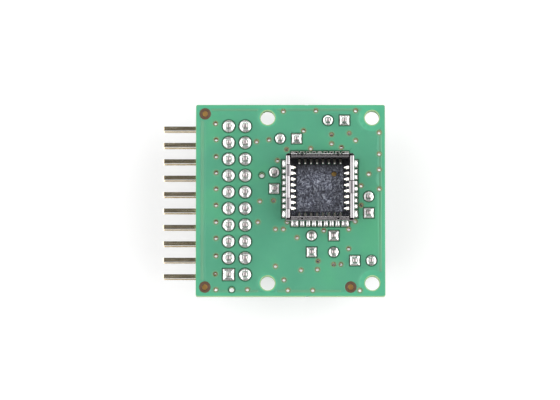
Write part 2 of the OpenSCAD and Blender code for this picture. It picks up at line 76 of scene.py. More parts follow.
HEADER = [(at(x, 14.75 + (i - 4.5) * 2.54), i == 0 and x == 5.02) for x in (5.02, 7.56) for i in range(10)]
JUMPERS = [(21.52, 27.10, 0), (14.18, 24.26, 0), (12.00, 17.80, -90), (26.48, 14.06, -90),
           (17.72, 8.04, -90), (21.10, 8.04, 90), (25.60, 5.47, 180)]
JPADS = []
for jx, jy, ja in JUMPERS:
    for s in (-1, 1):
        c, d = math.cos(math.radians(ja)), math.sin(math.radians(ja))
        JPADS.append((at(jx + s * 1.27 * c, jy + s * 1.27 * d), s == 1))
VIAS = [at(*v) for v in [
    (3.0, 26.6), (3.1, 24.1), (3.1, 21.5), (3.1, 19.0), (3.1, 16.5), (3.1, 14.0), (3.1, 11.4), (3.1, 8.9),
    (3.1, 6.2), (3.0, 3.4), (9.3, 23.8), (9.5, 11.4), (9.8, 14.6), (11.2, 24.1), (12.5, 20.9), (11.9, 14.7),
    (12.2, 10.3), (13.4, 10.3), (15.5, 9.0), (13.9, 22.6), (14.0, 11.4), (13.4, 28.5), (18.4, 28.6),
    (24.5, 28.6), (16.5, 25.5), (20.8, 24.9), (23.5, 25.1), (28.1, 25.2), (24.5, 24.0), (20.8, 23.5),
    (22.3, 22.9), (17.6, 22.75), (28.1, 21.9), (28.1, 19.5), (28.1, 16.5), (26.5, 18.8), (25.3, 17.0),
    (25.3, 14.0), (24.4, 11.5), (19.6, 10.1), (23.4, 10.3), (23.4, 7.3), (18.7, 5.4), (18.6, 4.1),
    (16.1, 4.0), (12.2, 4.6), (21.1, 4.9), (22.2, 4.9), (13.5, 2.5), (3.1, 1.0), (7.9, 1.0), (14.1, 0.9),
    (17.9, 0.9), (25.1, 0.9)]]
TOOLING = [at(10.1, 18.6), at(5.5, 1.0)]
FIDUCIALS = [at(1.4, 28.1), at(1.4, 1.4), at(23.7, 1.4)]
MOUNTS = [(-8, -12.75), (8, -12.75), (-8, 12.75), (8, 12.75)]
BREAKS = [at(17, 0), at(17, 29.5)]

# ------------------------------------------------------------------ node helpers


class Mat:
    """A Principled material with small helpers for procedural detail, in object space."""

    def __init__(self, name, color, rough, metal=0.0, spec=0.5, ior=None, coat=0.0, coat_rough=0.1):
        self.m = bpy.data.materials.new(name)
        self.m.use_nodes = True
        self.nt = self.m.node_tree
        self.b = self.nt.nodes["Principled BSDF"]
        self.b.inputs["Base Color"].default_value = (*color, 1)
        self.b.inputs["Roughness"].default_value = rough
        self.b.inputs["Metallic"].default_value = metal
        self.b.inputs["Specular IOR Level"].default_value = spec
        if ior:
            self.b.inputs["IOR"].default_value = ior
        self.b.inputs["Coat Weight"].default_value = coat
        self.b.inputs["Coat Roughness"].default_value = coat_rough
        self.tc = self.nt.nodes.new("ShaderNodeTexCoord")
        self.color = color
        self.normal = None

    def node(self, kind, **props):
        n = self.nt.nodes.new(kind)
        for k, v in props.items():
            setattr(n, k, v)
        return n

    def link(self, a, b):
        self.nt.links.new(a, b)

    def coords(self, scale=(1, 1, 1), rot=(0, 0, 0), loc=(0, 0, 0)):
        mp = self.node("ShaderNodeMapping")
        mp.inputs["Scale"].default_value = scale
        mp.inputs["Rotation"].default_value = rot
        mp.inputs["Location"].default_value = loc
        self.link(self.tc.outputs["Object"], mp.inputs["Vector"])
        return mp.outputs["Vector"]

    def noise(self, per_mm, detail=3, rough=0.5, dist=0.0, stretch=(1, 1, 1), rot=(0, 0, 0), loc=(0, 0, 0)):
        n = self.node("ShaderNodeTexNoise")
        n.inputs["Scale"].default_value = per_mm * 1000
        n.inputs["Detail"].default_value = detail
        n.inputs["Roughness"].default_value = rough
        n.inputs["Distortion"].default_value = dist
        self.link(self.coords(stretch, rot, loc), n.inputs["Vector"])
        return n.outputs["Fac"]

    def voronoi(self, per_mm, feature="F1", out="Distance", rand=1.0):
        n = self.node("ShaderNodeTexVoronoi", feature=feature)
        n.inputs["Scale"].default_value = per_mm * 1000
        n.inputs["Randomness"].default_value = rand
        self.link(self.coords(), n.inputs["Vector"])
        return n.outputs[out]

    def ramp(self, fac, stops, interp="LINEAR"):
        r = self.node("ShaderNodeValToRGB")
        r.color_ramp.interpolation = interp
        e = r.color_ramp.elements
        while len(e) < len(stops):
            e.new(0.5)
        for k, (p, c) in enumerate(stops):
            e[k].position = p
            e[k].color = (*c, 1) if len(c) == 3 else c
        self.link(fac, r.inputs["Fac"])
        return r.outputs["Color"]

    def range(self, fac, a, b, c, d):
        r = self.node("ShaderNodeMapRange")
        for k, v in zip(("From Min", "From Max", "To Min", "To Max"), (a, b, c, d)):
            r.inputs[k].default_value = v
        self.link(fac, r.inputs["Value"])
        return r.outputs["Result"]

    def mix(self, fac, a, b, mode="MIX"):
        m = self.node("ShaderNodeMix", data_type="RGBA", blend_type=mode)
        ins = [i for i in m.inputs if i.type == "RGBA"]
        f = [i for i in m.inputs if i.type == "VALUE"][0]
        for sock, v in ((f, fac), (ins[0], a), (ins[1], b)):
            if isinstance(v, bpy.types.NodeSocket):
                self.link(v, sock)
            elif isinstance(v, (int, float)):
                sock.default_value = v
            else:
                sock.default_value = (*v, 1)
        return [o for o in m.outputs if o.type == "RGBA"][0]

    def math(self, op, a, b=None, c=None, clamp=False):
        m = self.node("ShaderNodeMath", operation=op, use_clamp=clamp)
        for i, v in enumerate((a, b, c)):
            if v is None:
                continue
            if isinstance(v, bpy.types.NodeSocket):
                self.link(v, m.inputs[i])
            else:
                m.inputs[i].default_value = v
        return m.outputs[0]

    def attr(self, name):
        a = self.node("ShaderNodeAttribute", attribute_type="GEOMETRY", attribute_name=name)
        return a

    def xyz(self, space="Object"):
        s = self.node("ShaderNodeSeparateXYZ")
        self.link(self.tc.outputs[space], s.inputs[0])
        return s.outputs

    def base(self, sock):
        self.link(sock, self.b.inputs["Base Color"])
        return self

    def rough(self, sock):
        self.link(sock, self.b.inputs["Roughness"])
        return self

    def bump(self, height, strength, dist_mm):
        n = self.node("ShaderNodeBump")
        n.inputs["Strength"].default_value = strength
        n.inputs["Distance"].default_value = dist_mm * MM
        self.link(height, n.inputs["Height"])
        if self.normal is not None:
            self.link(self.normal, n.inputs["Normal"])
        self.normal = n.outputs["Normal"]
        self.link(self.normal, self.b.inputs["Normal"])
        return self


def lin(r, g, b):
    f = lambda c: c / 12.92 if c <= 0.04045 else ((c + 0.055) / 1.055) ** 2.4
    return tuple(f(v / 255) for v in (r, g, b))


def shade(c, k):
    return tuple(min(1, v * k) for v in c)


# ------------------------------------------------------------------ materials
MASK = lin(83, 160, 127)
# Lighter mask over bare laminate: partly its own tone with no copper below, partly painted glow of light shining
# through the board
MASK_BARE_AND_GLOW = lin(83, 172, 134)
# Painted shade: dark green for the rings round pads, lands and vias, where the mask lies in their shade
MASK_PAINTED_SHADE = lin(17, 66, 48)


def make_mask(name, flip=1):
    m = Mat(name, MASK, 0.34, spec=0.45, coat=0.0)
    a = m.attr("tint")
    sep = m.node("ShaderNodeSeparateColor")
    m.link(a.outputs["Color"], sep.inputs[0])
    cloud = m.noise(0.16, 3, 0.55)
    fine = m.noise(2.2, 2, 0.5)
    pour = m.ramp(cloud, [(0.30, lin(80, 155, 124)), (0.5, MASK), (0.72, lin(85, 168, 126))])
    pour = m.mix(m.range(fine, 0.35, 0.65, 0.0, 0.10), pour, shade(MASK, 0.86))
    # Bare laminate tone: partly real, partly painted glow of light through the board
    bare = m.ramp(cloud, [(0.3, shade(MASK_BARE_AND_GLOW, 0.93)), (0.7, shade(MASK_BARE_AND_GLOW, 1.06))])
    c = m.mix(sep.outputs[0], pour, bare)
    c = m.mix(m.math("MULTIPLY", sep.outputs[2], 0.60), c, lin(112, 158, 122))
    # Painted shade: the second tint channel darkens the mask round pads, lands and via rims
    c = m.mix(sep.outputs[1], c, MASK_PAINTED_SHADE)
    m.base(c)
    # The weave of the glass cloth shows faintly through the mask
    w1 = m.node("ShaderNodeTexWave", wave_type="BANDS", bands_direction="X", wave_profile="SIN")
    w2 = m.node("ShaderNodeTexWave", wave_type="BANDS", bands_direction="Y", wave_profile="SIN")
    for w in (w1, w2):
        w.inputs["Scale"].default_value = 700
        w.inputs["Distortion"].default_value = 0.6
        w.inputs["Detail"].default_value = 1
        m.link(m.coords(), w.inputs["Vector"])
    weave = m.math("MULTIPLY", w1.outputs["Fac"], w2.outputs["Fac"])
    m.rough(m.range(m.noise(0.5, 4, 0.6), 0.3, 0.7, 0.28, 0.42))
    m.bump(weave, 0.25, 0.004)
    m.bump(m.noise(6, 3, 0.55), 0.22, 0.006)
    return m.m


def make_laminate():
    m = Mat("laminate_core", lin(128, 176, 118), 0.55, spec=0.4)
    z = m.xyz()[2]
    # Layers of cloth and resin, seen on the routed edges and in the holes
    ph = m.math("MULTIPLY", z, 2 * math.pi / (0.19 * MM))
    ph = m.math("ADD", ph, m.range(m.noise(0.8, 2, 0.5, stretch=(1, 1, 0.2)), 0, 1, -1.6, 1.6))
    lay = m.range(m.math("SINE", ph), -1, 1, 0, 1)
    fib = m.noise(9, 3, 0.6, stretch=(1, 1, 5))
    c = m.mix(lay, lin(108, 158, 104), lin(158, 196, 138))
    c = m.mix(m.range(fib, 0.4, 0.75, 0, 0.6), c, lin(196, 214, 172))
    m.base(c)
    m.rough(m.range(fib, 0.3, 0.7, 0.45, 0.75))
    m.bump(fib, 0.5, 0.012)
    m.bump(lay, 0.35, 0.008)
    return m.m


def make_tin(name, color=(0.90, 0.90, 0.90), rough=(0.12, 0.30), grain=3.0, bump=0.010, tarnish=(0.62, 0.58, 0.52), amount=0.25):
    m = Mat(name, color, rough[0], metal=1.0)
    n1 = m.noise(grain, 4, 0.6, dist=0.6)
    n2 = m.noise(0.7, 3, 0.6)
    m.base(m.mix(m.range(n2, 0.45, 0.8, 0, amount), color, tarnish))
    m.rough(m.range(n1, 0.3, 0.7, rough[0], rough[1]))
    m.bump(n1, 0.35, bump)
    return m.m


def make_solder():
    m = Mat("bright_solder", (0.84, 0.84, 0.835), 0.16, metal=1.0)
    flux_and_painted_reflection = m.attr("tint").outputs["Fac"]
    n1 = m.noise(2.6, 4, 0.6, dist=0.6)
    n2 = m.noise(0.9, 3, 0.6)
    c = m.mix(m.range(n2, 0.45, 0.8, 0, 0.5), (0.92, 0.92, 0.915), (0.70, 0.67, 0.66))
    # Painted reflection: where the tint is 1, over the pin tips, the solder is painted darker and pinkish for the dark
    # sky it mirrors; joints under the board take an even 0.6 of the same tone as flux
    c = m.mix(m.math("MULTIPLY", flux_and_painted_reflection, m.range(n1, 0.35, 0.65, 0.55, 1.0)), c, (0.50, 0.42, 0.43))
    m.base(c)
    r = m.range(n1, 0.3, 0.7, 0.24, 0.38)
    m.rough(m.math("ADD", r, m.math("MULTIPLY", flux_and_painted_reflection, 0.06)))
    m.bump(n1, 0.35, 0.016)
    return m.m


def make_bronze(name, color=lin(214, 168, 98), dark=lin(120, 84, 48), rough=(0.16, 0.34), painted_side_light=None, tip=None):
    m = Mat(name, color, rough[0], metal=1.0)
    drawn = m.noise(5, 3, 0.55, stretch=(0.06, 1, 1))
    spots = m.noise(1.1, 4, 0.65)
    c = m.mix(m.range(spots, 0.42, 0.72, 0.0, 0.75), color, dark)
    c = m.mix(m.range(drawn, 0.45, 0.75, 0.0, 0.25), c, shade(dark, 0.8))
    if painted_side_light:
        # Painted light: faces that don't look up are painted brighter and whiter than the tops, which stay darker where
        # they mirror the dark sky overhead
        c = m.mix(m.range(m.xyz("Normal")[2], 0.55, 0.85, 0.88, 0.0), c, painted_side_light)
    if tip:
        # Painted shade: the strip is painted dark for the shade under the frame's north bar; only the wiping tips,
        # beyond the line y = tip, keep a bright plate colour
        c = m.mix(m.range(m.xyz()[1], (tip - 0.04) * MM, (tip + 0.04) * MM, 1.0, 0.0), c, (0.93, 0.91, 0.86))
    m.base(c)
    m.rough(m.range(drawn, 0.3, 0.7, rough[0], rough[1]))
    m.bump(drawn, 0.30, 0.006)
    return m.m


def make_plastic(name, color, rough=(0.42, 0.62), speck=0.05, bump=0.012, scale=14):
    m = Mat(name, color, rough[0], spec=0.45)
    n = m.noise(scale, 4, 0.6)
    big = m.noise(0.45, 3, 0.5)
    c = m.mix(m.range(n, 0.5, 0.72, 0, 0.5), color, tuple(min(1, v + speck) for v in color))
    c = m.mix(m.range(big, 0.35, 0.75, 0, 0.5), c, shade(color, 1.35))
    m.base(c)
    m.rough(m.range(n, 0.3, 0.7, rough[0], rough[1]))
    m.bump(n, 0.4, bump)
    return m.m


def make_floorplastic(name, tinted=False):
    """Glass-filled moulding: short pale fibres in every direction on a dark blue-grey ground."""
    m = Mat(name, lin(70, 70, 84), 0.5, spec=0.5)
    f = []
    for k, (sc, st, rot) in enumerate(((5.0, (1, 0.30, 1), 0.2), (5.4, (0.32, 1, 1), 0.9), (4.4, (1, 0.35, 1), -0.9))):
        f.append(m.noise(sc, 3, 0.6, dist=1.2, stretch=st, rot=(0, 0, rot), loc=(k * 0.013, k * 0.007, 0)))
    s = m.math("MAXIMUM", m.math("MAXIMUM", f[0], f[1]), f[2])
    if tinted:
        a = m.attr("tint").outputs["Fac"]
        s = m.math("ADD", m.math("MULTIPLY", s, 0.55), m.math("MULTIPLY", m.range(a, 0.0, 1.0, 0.44, 0.76), 0.45))
    big = m.noise(0.55, 3, 0.55)
    c = m.ramp(s, [(0.47, lin(26, 28, 36)), (0.545, lin(58, 60, 74)), (0.61, lin(112, 116, 132)), (0.70, lin(196, 202, 214))])
    c = m.mix(m.range(big, 0.35, 0.65, 0.55, 0.0), c, lin(26, 27, 34))
    # Painted shade: darker towards the socket's north wall, standing in for the shadow that wall casts on the floor
    y = m.xyz()[1]
    c = m.mix(m.range(y, (SY + 1.9) * MM, (SY + 3.9) * MM, 0.0, 0.9), c, lin(20, 20, 22))
    m.base(c)
    m.rough(m.range(s, 0.4, 0.7, 0.42, 0.62))
    m.bump(s, 0.7, 0.03)
    return m.m


def make_shield():
    m = Mat("shield_sheet", (0.58, 0.56, 0.57), 0.2, metal=1.0)
    roll = m.noise(4, 3, 0.55, stretch=(1, 0.08, 1))
    pits = m.noise(7, 2, 0.5)
    film = m.noise(0.8, 3, 0.6)
    c = m.mix(m.range(film, 0.4, 0.75, 0.0, 0.45), (0.45, 0.43, 0.44), (0.34, 0.31, 0.33))
    # Painted sheen: flat upward faces, except along the north side, are painted a lighter mauve grey and made rougher,
    # standing in for the soft reflection on the flange and latch tops
    flat = m.range(m.xyz("Normal")[2], 0.985, 0.998, 0.0, 1.0)
    flat = m.math("MULTIPLY", flat, m.range(m.xyz()[1], (SY + 3.6) * MM, (SY + 3.8) * MM, 1.0, 0.0))
    m.base(m.mix(m.math("MULTIPLY", flat, 0.5), c, (0.62, 0.56, 0.60)))
    m.rough(m.math("ADD", m.range(roll, 0.3, 0.7, 0.16, 0.30), m.math("MULTIPLY", flat, 0.16)))
    m.bump(roll, 0.2, 0.004)
    m.bump(pits, 0.25, 0.004)
    return m.m


def make_ceramic(name, color, dark, rough=(0.35, 0.55)):
    m = Mat(name, color, rough[0], spec=0.5)
    n = m.noise(10, 4, 0.6)
    big = m.noise(1.2, 3, 0.6)
    c = m.mix(m.range(n, 0.35, 0.7, 0.0, 0.55), color, dark)
    c = m.mix(m.range(big, 0.4, 0.7, 0.0, 0.3), c, shade(dark, 0.8))
    m.base(c)
    m.rough(m.range(n, 0.3, 0.7, rough[0], rough[1]))
    m.bump(n, 0.3, 0.006)
    return m.m


M = {}
M["mask_top"] = make_mask("solder_mask_top")
M["mask_bottom"] = make_mask("solder_mask_bottom")
M["laminate"] = make_laminate()
M["solder"] = make_solder()
M["tin"] = make_tin("tinned_copper", (0.86, 0.85, 0.83), (0.22, 0.42), grain=5.0, bump=0.006)
M["leads"] = make_tin("matt_tin", (0.80, 0.80, 0.79), (0.30, 0.50), grain=6.0, bump=0.005)
M["via"] = make_tin("via_copper", lin(190, 180, 130), (0.30, 0.50), grain=4.0, bump=0.006, tarnish=lin(120, 92, 58), amount=0.7)
M["copper"] = make_tin("bare_copper", lin(208, 164, 98), (0.28, 0.48), grain=4.0, bump=0.005, tarnish=lin(150, 92, 60), amount=0.7)
M["bronze"] = make_bronze("pin_bronze", (0.97, 0.86, 0.63), (0.80, 0.63, 0.41), rough=(0.14, 0.28), painted_side_light=(0.86, 0.84, 0.83))
M["spring"] = make_bronze("spring_plate", (0.93, 0.91, 0.86), (0.80, 0.74, 0.62), rough=(0.10, 0.22))
# The north contacts get a dark copy of the spring plate: painted shade under the frame's north bar, with bright tips
TIP_Y = min(v.co.y for v in NODES["socket_contacts_north"].data.vertices) / MM + 0.20
M["spring_painted_shade"] = make_bronze("spring_painted_shade", (0.20, 0.19, 0.17), (0.14, 0.12, 0.10), rough=(0.16, 0.30), tip=TIP_Y)
M["clip"] = make_bronze("clip_bronze", lin(222, 184, 118), lin(150, 112, 66), rough=(0.2, 0.38))
M["black"] = make_plastic("black_moulding", (0.012, 0.012, 0.014))
M["shunt"] = make_plastic("shunt_moulding", (0.016, 0.016, 0.018), rough=(0.32, 0.5), bump=0.010)
M["socket"] = make_plastic("socket_moulding", (0.014, 0.014, 0.016), rough=(0.45, 0.65), bump=0.014)
M["epoxy"] = make_plastic("chip_epoxy", (0.022, 0.022, 0.024), rough=(0.5, 0.7), bump=0.010, scale=20)
M["floor"] = make_floorplastic("socket_floor_mottled")
M["shield"] = make_shield()
M["resin"] = make_ceramic("window_resin", lin(104, 74, 56), lin(72, 62, 46), rough=(0.3, 0.5))
M["gilt"] = make_tin("gilt_pad", (0.62, 0.40, 0.14), (0.35, 0.55), grain=4.0, bump=0.006, tarnish=(0.30, 0.18, 0.06), amount=0.7)
M["gilt_pale"] = make_tin("pale_pad", (0.86, 0.80, 0.62), (0.35, 0.55), grain=4.0, bump=0.006, tarnish=(0.60, 0.50, 0.30), amount=0.5)
M["grain"] = make_floorplastic("socket_floor_grain", True)
M["cap"] = make_ceramic("capacitor_ceramic", lin(176, 140, 104), lin(142, 108, 78))
M["alumina"] = make_ceramic("alumina", lin(228, 226, 220), lin(206, 204, 198))
M["osc"] = make_ceramic("oscillator_ceramic", lin(196, 180, 148), lin(168, 150, 120))
M["ferrite"] = make_ceramic("ferrite", lin(92, 92, 94), lin(64, 64, 66))
M["glaze"] = make_plastic("resistor_glaze", (0.014, 0.014, 0.017), rough=(0.18, 0.3), bump=0.006)

PAINT = {
    "circuit_board": "laminate", "header_hole_plating": "tin", "jumper_hole_plating": "tin", "via_plating": "via",
    "fiducial_marks": "copper", "socket_lands": "tin", "component_lands": "tin",
    "socket_floor": "floor", "socket_frame": "socket", "socket_shield": "shield",
    "socket_contacts_north": "spring_painted_shade", "socket_contacts_south": "spring", "socket_contacts_east": "spring",
    "socket_contacts_west": "spring", "socket_solder": "solder", "header_body": "black",
    "header_pins_upper": "bronze", "header_pins_lower": "bronze", "header_solder": "solder",
    "jumper_bases": "black", "jumper_pins": "bronze", "jumper_solder": "solder",
    "core_regulator_body": "epoxy", "core_regulator_leads": "leads", "analog_regulator_body": "epoxy",
    "analog_regulator_leads": "leads", "io_regulator_body": "epoxy", "io_regulator_leads": "leads",
    "oscillator_base": "osc", "oscillator_lid": "tin", "capacitor_bodies": "cap", "capacitor_ends": "leads",
    "bulk_capacitor_body": "cap", "bulk_capacitor_ends": "leads", "resistor_bodies": "alumina",
    "resistor_films": "glaze", "resistor_ends": "leads", "ferrite_bodies": "ferrite", "ferrite_ends": "leads",
}
BEVEL = {
    "circuit_board": 0.04, "socket_shield": 0.03, "socket_floor": 0.03, "socket_frame": 0.04,
    "socket_contacts_north": 0.022, "socket_contacts_south": 0.022, "socket_contacts_east": 0.022, "socket_contacts_west": 0.022,
    "header_body": 0.06, "header_pins_upper": 0.05, "header_pins_lower": 0.05, "jumper_bases": 0.07, "jumper_pins": 0.05,
    "core_regulator_body": 0.05, "analog_regulator_body": 0.05, "io_regulator_body": 0.05,
    "core_regulator_leads": 0.03, "analog_regulator_leads": 0.03, "io_regulator_leads": 0.03,
    "oscillator_base": 0.05, "oscillator_lid": 0.08, "capacitor_bodies": 0.05, "capacitor_ends": 0.09,
    "bulk_capacitor_body": 0.06, "bulk_capacitor_ends": 0.12, "resistor_bodies": 0.03, "resistor_films": 0.015, "resistor_ends": 0.05,
    "ferrite_bodies": 0.06, "ferrite_ends": 0.10, "socket_lands": 0.012, "component_lands": 0.012,
    "header_hole_plating": 0.012, "jumper_hole_plating": 0.012, "via_plating": 0.012, "fiducial_marks": 0.012,
}
for i in range(1, 8):
    PAINT["shunt_%d_cap" % i] = "shunt"
    PAINT["shunt_%d_clip" % i] = "clip"
    BEVEL["shunt_%d_cap" % i] = 0.07
    BEVEL["shunt_%d_clip" % i] = 0.03

for name, o in NODES.items():
    mat = M[PAINT.get(name, "tin")]
    o.data.materials.clear()
    o.data.materials.append(mat)
    w = BEVEL.get(name)
    if w:
        bv = o.modifiers.new("edge", "BEVEL")
        bv.width = w * MM
        bv.segments = 2
        bv.limit_method = "ANGLE"
        bv.angle_limit = math.radians(32)
        bv.harden_normals = False
    for p in o.data.polygons:
        p.use_smooth = True
    sm = o.modifiers.new("flat_faces", "WEIGHTED_NORMAL")
    sm.keep_sharp = True

# ------------------------------------------------------------------ mesh helpers


def make_object(name, verts, faces, mat, body="board", smooth=True, colors=None, scale=MM):
    me = bpy.data.meshes.new(name)
    me.from_pydata([(x * scale, y * scale, z * scale) for x, y, z in verts], [], faces)
    me.validate()
    me.materials.append(mat)
    for p in me.polygons:
        p.use_smooth = smooth
    if colors is not None:
        a = me.color_attributes.new("tint", "FLOAT_COLOR", "POINT")
        a.data.foreach_set("color", np.asarray(colors, np.float32).ravel())
    o = bpy.data.objects.new(name, me)
    scene.collection.objects.link(o)
    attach(o, body)
    return o


def ring(cx, cy, r, n, phase=0.0):
    return [(cx + r * math.cos(2 * math.pi * (k + phase) / n), cy + r * math.sin(2 * math.pi * (k + phase) / n)) for k in range(n)]


def rect(cx, cy, w, h, a=0.0, r=0.0, n=3):
    """A rectangle with rounded corners, turned by a degrees."""
    pts = []
    if r <= 0:
        pts = [(-w / 2, -h / 2), (w / 2, -h / 2), (w / 2, h / 2), (-w / 2, h / 2)]
    else:
        for qx, qy, a0 in ((1, 1, 0), (-1, 1, 90), (-1, -1, 180), (1, -1, 270)):
            for k in range(n + 1):
                t = math.radians(a0 + 90 * k / n)
                pts.append((qx * (w / 2 - r) + r * math.cos(t), qy * (h / 2 - r) + r * math.sin(t)))
    c, s = math.cos(math.radians(a)), math.sin(math.radians(a))
    return [(cx + x * c - y * s, cy + x * s + y * c) for x, y in pts]


# ------------------------------------------------------------------ solder mask
class Shape:
    """A circle or a rotated rectangle with a signed distance, negative inside."""

    def __init__(self, kind, cx, cy, a=0.0, r=0.0, w=0.0, h=0.0):
        self.kind, self.cx, self.cy, self.a, self.r, self.w, self.h = kind, cx, cy, math.radians(a), r, w, h

    def dist(self, x, y):
        dx, dy = x - self.cx, y - self.cy
        if self.kind == "c":
            return np.hypot(dx, dy) - self.r
        c, s = math.cos(self.a), math.sin(self.a)
        u, v = np.abs(dx * c + dy * s) - self.w / 2, np.abs(-dx * s + dy * c) - self.h / 2
        return np.hypot(np.maximum(u, 0), np.maximum(v, 0)) + np.minimum(np.maximum(u, v), 0)

    def loop(self, grow, n=None):
        if self.kind == "c":
            r = self.r + grow
            return ring(self.cx, self.cy, r, n or max(12, min(48, int(r * 26))))
        return rect(self.cx, self.cy, self.w + 2 * grow, self.h + 2 * grow, math.degrees(self.a), max(0.03, grow), 2)


def circle(c, r):
    return Shape("c", c[0], c[1], r=r)


def box2(cx, cy, w, h, a=0.0):
    return Shape("r", cx, cy, a=a, w=w, h=h)


COMMON = [circle(m, 1.24) for m in MOUNTS] + [circle(t, 0.43) for t in TOOLING]
COMMON += [circle(c, 0.95) if not sq else box2(c[0], c[1], 1.81, 1.81) for c, sq in HEADER]
COMMON += [circle(c, 0.79) if not sq else box2(c[0], c[1], 1.56, 1.56) for c, sq in JPADS]
COMMON += [circle(v, 0.345) for v in VIAS]
LANDS = []
for k in range(4):
    a = 90 * k
    c, s = math.cos(math.radians(a)), math.sin(math.radians(a))
    for t in [(j * 0.9, 0.66) for j in range(-3, 4)] + [(q * 3.87, 1.14) for q in (-1, 1)]:
        x, y = 5.325, t[0]
        LANDS.append((SX + x * c - y * s, SY + x * s + y * c, 0.95, t[1], a))
TOP_OPEN = COMMON + [circle(f, 0.90) for f in FIDUCIALS] + [box2(x, y, w + 0.06, h + 0.06, a) for x, y, w, h, a in LANDS]

CHIPS = [(x, y, a, 1.6, 0.8, 0.32) for x, y, a in
         [(18.7, 19.6, 90), (18.7, 14.6, 90), (15.9, 17.2, 0), (15.9, 12.1, 0), (21.9, 17.6, 0), (24.4, 20.2, 90),
          (22.1, 22.6, 0), (18.7, 17.2, 0), (19.6, 12.1, 0), (9.7, 21.6, 90), (9.7, 8.8, 90), (13.2, 12.6, 0)]]
RES = [(x, y, a, 1.6, 0.8, 0.30) for x, y, a in
       [(26.3, 21.6, 90), (26.3, 9.0, 0), (26.3, 10.4, 0), (13.4, 8.9, 0), (13.3, 6.0, 0), (9.6, 17.0, 90),
        (18.1, 27.2, 90), (24.3, 16.9, 90)]]
FER = [(21.6, 2.6, 0, 2.0, 1.25, 0.4), (9.7, 5.8, 90, 2.0, 1.25, 0.4)]
BULK = [(16.9, 2.4, 0, 3.2, 1.6, 0.5)]
SOTS = [(15.9, 19.7), (15.9, 14.65), (21.9, 20.1)]
OSC = (22.0, 14.6)
BOT_PADS = []
for x, y, a, l, w, e in CHIPS + RES + FER + BULK:
    c, s = math.cos(math.radians(a)), math.sin(math.radians(a))
    for q in (-1, 1):
        u = q * (l / 2 - e / 2 + 0.1)
        px, py = at(x + u * c, y + u * s)
        BOT_PADS.append((px, py, e + 0.2, w + 0.12, a))
for x, y in SOTS:
    for px, py in [(x + q, y - 1.3) for q in (-0.95, 0, 0.95)] + [(x + q, y + 1.3) for q in (-0.95, 0.95)]:
        BOT_PADS.append((*at(px, py), 0.5, 0.6, 0))
for qx in (-1, 1):
    for qy in (-1, 1):
        BOT_PADS.append((*at(OSC[0] + qx * 1.05, OSC[1] + qy * 0.85), 1.0, 0.8, 0))
BOT_OPEN = COMMON + [box2(x, y, w + 0.08, h + 0.08, a) for x, y, w, h, a in BOT_PADS]

# Copper routes under the mask, as listed polylines: [width, points...]
TOP_ROUTES = [
    [0.25, (1.0, 2.6), (1.0, 26.9)], [0.25, (2.6, 28.75), (9.3, 28.75)], [0.25, (12.7, 28.75), (25.2, 28.75)],
    [0.25, (2.6, 0.75), (9.3, 0.75)], [0.25, (12.7, 0.75), (22.0, 0.75)], [0.25, (28.3, 4.0), (28.3, 25.6)],
]
BOT_ROUTES = [
    [0.3, (7.56, 3.32), (9.7, 4.8)], [0.3, (9.7, 6.8), (9.7, 8.1)], [0.3, (9.7, 9.5), (9.5, 11.4), (9.8, 14.6), (9.6, 16.3)],
    [0.3, (7.56, 18.56), (9.6, 17.8)], [0.25, (13.2, 26.2), (15.0, 21.0)], [0.3, (14.95, 21.0), (13.9, 22.6)],
    [0.3, (18.7, 20.3), (17.6, 22.7)], [0.25, (21.9, 21.4), (22.3, 22.9), (20.8, 23.5), (20.8, 24.9)],
    [0.3, (24.4, 20.9), (24.5, 24.0)], [0.3, (26.3, 20.9), (26.5, 18.8), (26.48, 16.6)], [0.25, (19.6, 10.1), (19.6, 12.1)],
    [0.3, (13.4, 10.3), (13.9, 12.6)], [0.25, (12.2, 10.3), (12.8, 8.9)], [0.3, (14.1, 8.9), (15.5, 9.0)],
    [0.25, (14.0, 6.0), (16.1, 4.0)], [0.3, (18.6, 4.1), (18.7, 5.4)], [0.25, (23.4, 7.3), (25.6, 9.0)], [0.25, (23.4, 10.3), (25.6, 10.4)],
    [0.3, (20.8, 2.6), (19.2, 2.4)], [0.25, (22.4, 2.6), (22.2, 4.9)], [0.3, (15.2, 2.4), (13.5, 2.5)],
]


